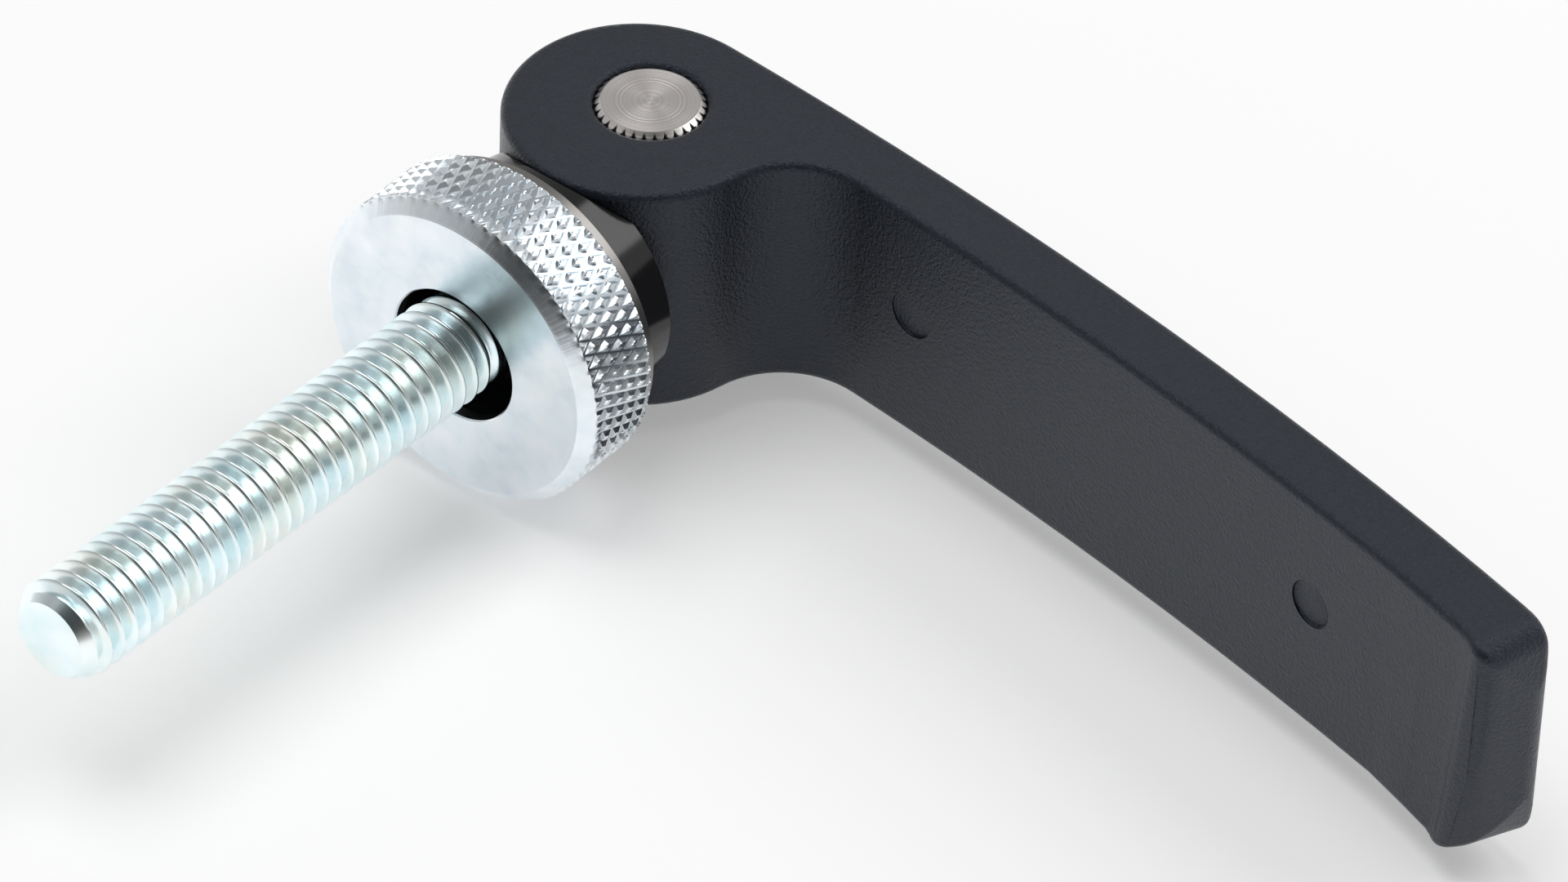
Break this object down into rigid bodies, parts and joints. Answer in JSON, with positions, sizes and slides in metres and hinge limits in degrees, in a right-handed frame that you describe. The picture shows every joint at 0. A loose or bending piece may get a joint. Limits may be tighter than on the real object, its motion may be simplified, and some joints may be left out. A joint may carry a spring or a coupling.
{
  "type": "cam clamping lever",
  "caption": "Cam clamping lever with an eccentric forked head, contact plate, thrust washer, knurled setting nut and threaded stud.",
  "frame": {"origin": "where the threaded stud's axis meets the plane of the setting nut's clamping face, lever closed", "axes": "-Y along the stud towards its free end, +X towards the closed lever's end, Z along the pivot pin, +Z at the pin's knurled end"},
  "size_m": [0.0721, 0.0547, 0.019],
  "materials": {
    "plated_stud": "zinc plated, pale blue and yellow tint",
    "pin_steel": "turned stainless steel",
    "powder_coat": "fine textured matt black powder coat on zinc die casting",
    "black_plastic": "smooth black acetal",
    "washer_steel": "satin stainless steel",
    "plated_nut": "zinc plated, blue passivated"
  },
  "bodies": {
    "stud": {"threaded_stud": "plated_stud"},
    "lever": {"lever": "powder_coat", "pivot_pin": "pin_steel"},
    "plate": {"contact_plate": "black_plastic"},
    "washer": {"thrust_washer": "washer_steel"},
    "nut": {"setting_nut": "plated_nut"}
  },
  "joints": [
    {"name": "lever_pivot", "type": "hinge", "parent": "stud", "child": "lever", "pos_m": [0, 0.0165, 0], "axis": [0, 0, 1], "range_deg": [0, 90]},
    {"name": "plate_swivel", "type": "hinge", "parent": "lever", "child": "plate", "pos_m": [0, 0.01566, 0], "axis": [0, 0, 1], "range_deg": [-92, 0]},
    {"name": "washer_slide", "type": "slide", "parent": "plate", "child": "washer", "axis": [0.0227, -0.9997, 0], "range_m": [0, 0.0021]},
    {"name": "nut_turn", "type": "hinge", "parent": "washer", "child": "nut", "pos_m": [0, 0.01566, -0.00029], "axis": [0.0227, -0.9997, 0], "range_deg": [0, 720]}
  ],
  "couplings": [
    {"joint": "plate_swivel", "follows": "lever_pivot", "ratio": -1.0144},
    {"joint": "washer_slide", "follows": "nut_turn", "m_per_rad": 0.00015915}
  ]
}
